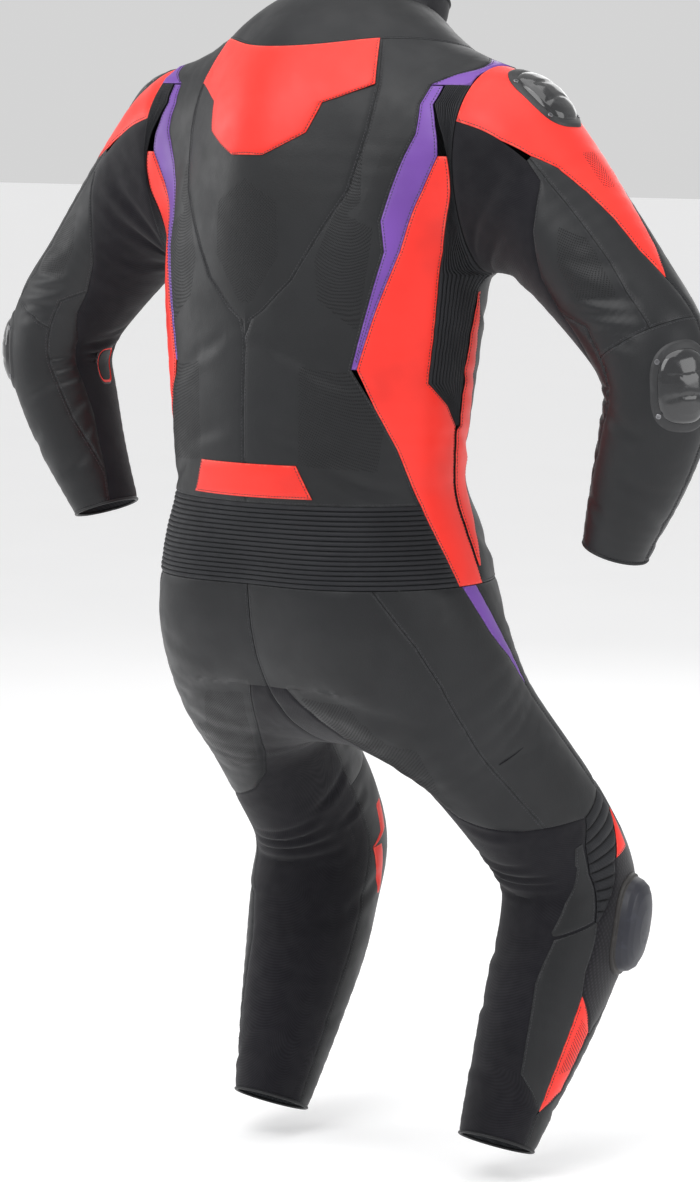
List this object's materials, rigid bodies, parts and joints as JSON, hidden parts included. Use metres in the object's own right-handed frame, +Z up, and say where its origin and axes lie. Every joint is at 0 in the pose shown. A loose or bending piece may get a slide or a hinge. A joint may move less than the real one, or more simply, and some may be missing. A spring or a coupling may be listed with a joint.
{
  "type": "race suit",
  "caption": "One-piece leather motorcycle race suit, filled out as worn, with a back hump, accordion stretch panels, elbow, shoulder and knee guards.",
  "frame": {"origin": "base of the neck, midway between the shoulders, where the wearer holds the suit up", "axes": "+Z up along the wearer, -Y towards the wearer's front, +X towards the wearer's left"},
  "size_m": [1.0206, 0.4524, 1.3739],
  "materials": {
    "black_leather": "satin, fine grain",
    "red_leather": "satin, fluorescent red",
    "purple_leather": "satin",
    "stretch": "matt stretch weave",
    "collar_fabric": "matt, doubled",
    "cup": "gloss with matt rim",
    "slider": "matt",
    "zip": "matt tape"
  },
  "bodies": {
    "root": {"collar_band": "collar_fabric", "collar_stand": "black_leather", "back_centre": "black_leather", "back_yoke": "red_leather", "waist_rib": "stretch", "back_tab": "red_leather", "front_zip": "zip", "back_body_left": "black_leather", "back_body_right": "black_leather", "back_insert_left": "purple_leather", "back_insert_right": "purple_leather", "shoulder_insert_left": "purple_leather", "shoulder_insert_right": "purple_leather", "side_red_left": "red_leather", "side_red_right": "red_leather", "side_rib_left": "stretch", "side_rib_right": "stretch", "front_body_left": "black_leather", "front_body_right": "black_leather", "sleeve_red_left": "red_leather", "sleeve_red_right": "red_leather", "sleeve_outer_left": "black_leather", "sleeve_outer_right": "black_leather", "sleeve_back_left": "black_leather", "sleeve_back_right": "black_leather", "sleeve_stretch_left": "stretch", "sleeve_stretch_right": "stretch", "sleeve_front_left": "black_leather", "sleeve_front_right": "black_leather", "forearm_back_left": "black_leather", "forearm_back_right": "black_leather", "forearm_gusset_left": "black_leather", "forearm_gusset_right": "black_leather", "thigh_back_left": "black_leather", "thigh_back_right": "black_leather", "thigh_outer_left": "black_leather", "thigh_outer_right": "black_leather", "hip_stripe_left": "purple_leather", "hip_stripe_right": "purple_leather", "thigh_front_left": "black_leather", "thigh_front_right": "black_leather", "leg_stretch_left": "stretch", "leg_stretch_right": "stretch", "knee_rib_left": "stretch", "knee_rib_right": "stretch", "knee_loop_left": "stretch", "knee_loop_right": "stretch", "shin_front_left": "black_leather", "shin_front_right": "black_leather", "calf_leather_left": "black_leather", "calf_leather_right": "black_leather", "shin_red_left": "red_leather", "shin_red_right": "red_leather", "shoulder_cup_left": "cup", "shoulder_cup_right": "cup", "elbow_cup_left": "cup", "elbow_cup_right": "cup", "knee_slider_left": "slider", "knee_slider_right": "slider"}
  },
  "joints": []
}
